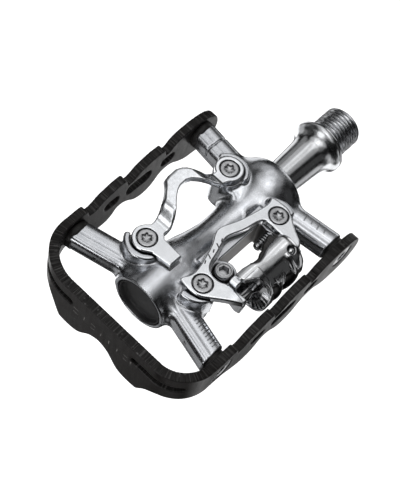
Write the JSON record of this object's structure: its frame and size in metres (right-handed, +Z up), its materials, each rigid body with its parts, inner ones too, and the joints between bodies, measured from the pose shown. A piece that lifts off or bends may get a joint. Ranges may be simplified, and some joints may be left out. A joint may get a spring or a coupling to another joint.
{
  "type": "clipless bicycle pedal",
  "caption": "Left-hand single-sided clipless pedal: cast body turning on a threaded spindle, black cage round it, steel hoop in front and a sprung rear claw that hold a shoe cleat.",
  "frame": {"origin": "on the spindle axis, in the plane of the flange face that seats against the crank arm", "axes": "+X along the spindle towards the crank, +Y towards the toe of the shoe, +Z up out of the cleat side"},
  "size_m": [0.1152, 0.064, 0.0287],
  "materials": {
    "spindle_steel": "turned steel, ground to a fine satin with circumferential tool marks",
    "bearing_steel": "ground and polished bearing steel",
    "bearing_bronze": "oiled bronze",
    "body_alloy": "polished cast alloy",
    "cage_black": "black anodised, satin faces and finely serrated top edge",
    "plate_chrome": "chromed steel with rounded edges",
    "screw_steel": "bright zinc-plated steel",
    "spring_steel": "blackened spring steel, oiled",
    "seal_rubber": "matt black rubber",
    "cap_plastic": "smooth black plastic"
  },
  "bodies": {
    "spindle": {"spindle": "spindle_steel", "spindle_washer": "screw_steel", "spindle_lock_nut": "screw_steel", "bearing_inner_ring": "bearing_steel"},
    "pedal": {"pedal_body": "body_alloy", "cage_plate": "cage_black", "cage_screw_front_outer": "screw_steel", "cage_screw_front_inner": "screw_steel", "cage_screw_rear_outer": "screw_steel", "cage_screw_rear_inner": "screw_steel", "dust_cap": "cap_plastic", "spindle_bushing": "bearing_bronze", "spindle_seal": "seal_rubber", "bearing_outer_ring": "bearing_steel", "bearing_shield_outer": "screw_steel", "bearing_shield_inner": "screw_steel", "front_hoop": "plate_chrome", "rear_plate": "plate_chrome", "front_hoop_screw_outer": "screw_steel", "front_hoop_screw_inner": "screw_steel", "rear_plate_screw_outer": "screw_steel", "rear_plate_screw_inner": "screw_steel", "claw_pivot_pin": "bearing_steel", "pivot_pin_clip": "spring_steel", "claw_spring_outer": "spring_steel", "claw_spring_inner": "spring_steel"},
    "bearing_cage": {"bearing_ball_retainer": "bearing_bronze", "bearing_ball_1": "bearing_steel", "bearing_ball_2": "bearing_steel", "bearing_ball_3": "bearing_steel", "bearing_ball_4": "bearing_steel", "bearing_ball_5": "bearing_steel", "bearing_ball_6": "bearing_steel", "bearing_ball_7": "bearing_steel"},
    "claw": {"rear_claw": "plate_chrome", "claw_end_block": "plate_chrome"},
    "tension_screw": {"tension_screw": "screw_steel"},
    "tension_nut": {"tension_nut": "spring_steel"}
  },
  "joints": [
    {"name": "pedal_spin", "type": "hinge", "parent": "spindle", "child": "pedal", "pos_m": [0, 0, 0], "axis": [1, 0, 0], "continuous": true},
    {"name": "bearing_cage_spin", "type": "hinge", "parent": "spindle", "child": "bearing_cage", "pos_m": [-0.0705, 0, 0], "axis": [1, 0, 0], "continuous": true},
    {"name": "claw_pivot", "type": "hinge", "parent": "pedal", "child": "claw", "pos_m": [-0.0529, -0.0214, 0.007], "axis": [1, 0, 0], "range_deg": [0, 25], "stiffness_Nm_per_rad": 0.2, "springref_deg": -20.05, "deforming": ["claw_spring_outer", "claw_spring_inner"]},
    {"name": "tension_screw_turn", "type": "hinge", "parent": "pedal", "child": "tension_screw", "pos_m": [-0.0649, -0.0125, 0.0043], "axis": [0, 0, 1], "range_deg": [-1081, 0]},
    {"name": "tension_nut_travel", "type": "slide", "parent": "pedal", "child": "tension_nut", "axis": [0, 0, 1], "range_m": [0, 0.0021]}
  ],
  "couplings": [
    {"joint": "bearing_cage_spin", "follows": "pedal_spin", "ratio": 0.596},
    {"joint": "tension_screw_turn", "follows": "tension_nut_travel", "rad_per_m": -8976}
  ]
}
